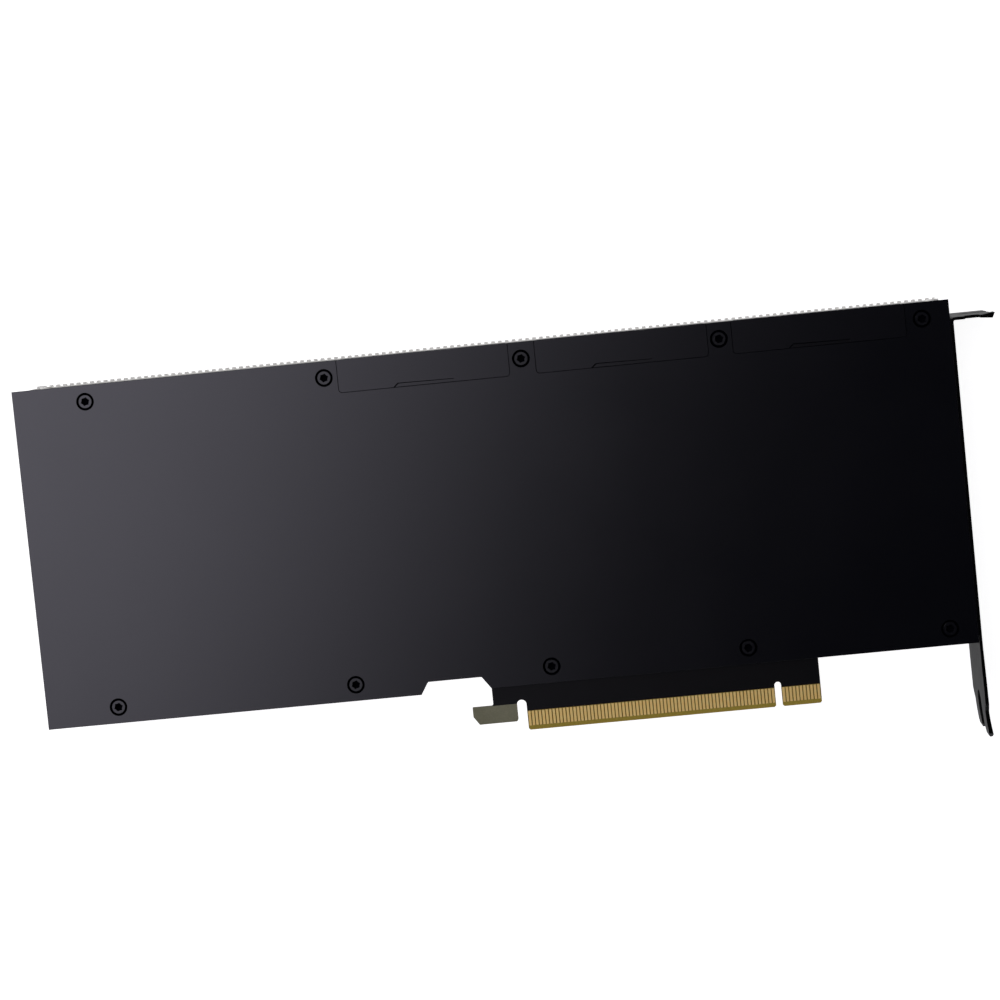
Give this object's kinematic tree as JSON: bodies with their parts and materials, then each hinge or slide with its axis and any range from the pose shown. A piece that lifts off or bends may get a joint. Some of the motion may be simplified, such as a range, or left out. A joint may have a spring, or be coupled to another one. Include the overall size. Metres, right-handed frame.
{
  "type": "passive accelerator card",
  "caption": "Full-height two-slot passive accelerator card with a flat back plate, keyed edge connector, bridge connector covers, steel bracket and ribbed cover.",
  "frame": {"origin": "middle of the card's footprint, on the rib tops of the cover that the card lies on", "axes": "+X along the card towards the bracket, +Y towards the edge with the bridge connectors, +Z out of the back plate"},
  "size_m": [0.2806, 0.1258, 0.039],
  "materials": {
    "plate": "dark grey anodised sheet, satin",
    "cover": "dark grey moulded cap in the plate's colour",
    "film": "black insulating film",
    "board": "black solder mask over glass-epoxy laminate",
    "gold": "gold plating",
    "screw": "dark steel screws",
    "cover_screw": "screws of the ribbed cover, coated in its light tone",
    "spring": "spring steel",
    "substrate": "green package substrate",
    "silicon": "polished silicon",
    "stiffener": "nickel-plated ring",
    "compound": "grey thermal compound",
    "thermal_pad": "grey-blue thermal pad",
    "chip": "black moulded packages",
    "choke": "grey pressed powder",
    "capacitor": "amber and black capacitor bodies",
    "frame_alloy": "plain milled alloy",
    "chamber": "copper vapour chamber",
    "fins": "bare aluminium fins",
    "connector": "black connector housing",
    "pin": "plated pins",
    "end_frame": "black end frames",
    "bracket": "dark satin steel sheet",
    "shroud": "light anodised ribbed cover"
  },
  "bodies": {
    "root": {"back_plate": "plate", "insulating_film": "film", "circuit_board": "board", "edge_contacts_back": "gold", "edge_contacts_front": "gold", "bridge_contacts": "gold", "bridge_cover_rear": "cover", "bridge_cover_middle": "cover", "bridge_cover_front": "cover", "plate_screws": "screw", "retention_spring": "spring", "retention_screws": "screw", "package_substrate": "substrate", "processor_die": "silicon", "memory_stacks": "silicon", "stiffener_frame": "stiffener", "thermal_compound": "compound", "power_stages": "chip", "power_chokes": "choke", "capacitors": "capacitor", "control_chips": "chip", "decoupling_capacitors": "capacitor", "thermal_pads": "thermal_pad", "base_frame": "frame_alloy", "vapor_chamber": "chamber", "fin_stack": "fins", "power_socket": "connector", "power_pins": "pin", "rear_frame": "end_frame", "exhaust_frame": "end_frame", "slot_bracket": "bracket", "bracket_screws": "screw", "shroud": "shroud", "shroud_screws": "cover_screw"}
  },
  "joints": []
}
